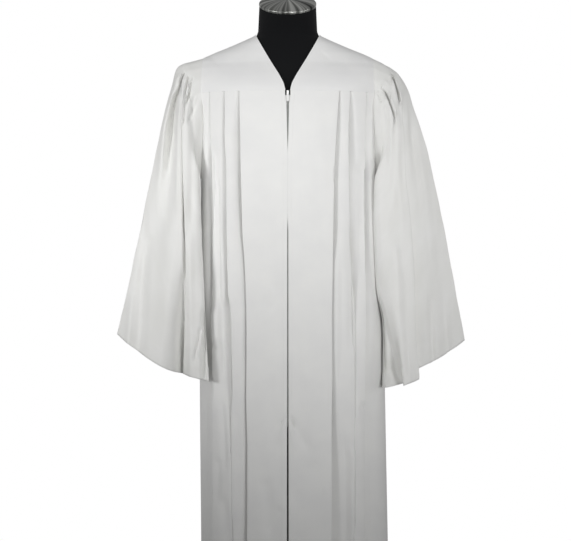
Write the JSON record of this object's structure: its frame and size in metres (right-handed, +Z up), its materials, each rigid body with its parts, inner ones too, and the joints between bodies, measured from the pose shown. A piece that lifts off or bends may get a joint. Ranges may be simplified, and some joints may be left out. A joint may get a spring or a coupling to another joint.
{
  "type": "confirmation robe on dress form",
  "caption": "Full-length white confirmation robe with a V neck, knife pleats, belled sleeves and a front zip, worn by a black limbless dress form on a pole stand.",
  "frame": {"origin": "on the floor, at the centre of the stand's base plate", "axes": "+Z up, -Y towards the robe's front, +X towards the wearer's left"},
  "size_m": [0.7634, 0.36, 1.5388],
  "materials": {
    "white_polyester": "matte woven polyester with a slight sheen",
    "white_zip": "white coil and woven tape",
    "white_lacquered_metal": "white lacquer",
    "black_jersey": "matte stretch jersey",
    "brushed_steel": "fine brushed"
  },
  "bodies": {
    "robe_on_form": {"front_yoke_right": "white_polyester", "front_yoke_left": "white_polyester", "back_yoke": "white_polyester", "front_panel_right": "white_polyester", "front_panel_left": "white_polyester", "back_panel": "white_polyester", "sleeve_right": "white_polyester", "sleeve_left": "white_polyester", "zip_tape_right": "white_zip", "zip_tape_left": "white_zip", "zip_chain": "white_zip", "zip_slider": "white_lacquered_metal", "form_torso": "black_jersey", "form_neck_cap": "brushed_steel", "stand_pole": "brushed_steel", "stand_base": "brushed_steel", "stand_collar": "brushed_steel"},
    "pull_tab": {"zip_pull": "white_lacquered_metal"}
  },
  "joints": [
    {"name": "pull_tab_hinge", "type": "hinge", "parent": "robe_on_form", "child": "pull_tab", "pos_m": [0, -0.11685, 1.305], "axis": [-1, 0, 0], "range_deg": [0, 150]}
  ]
}
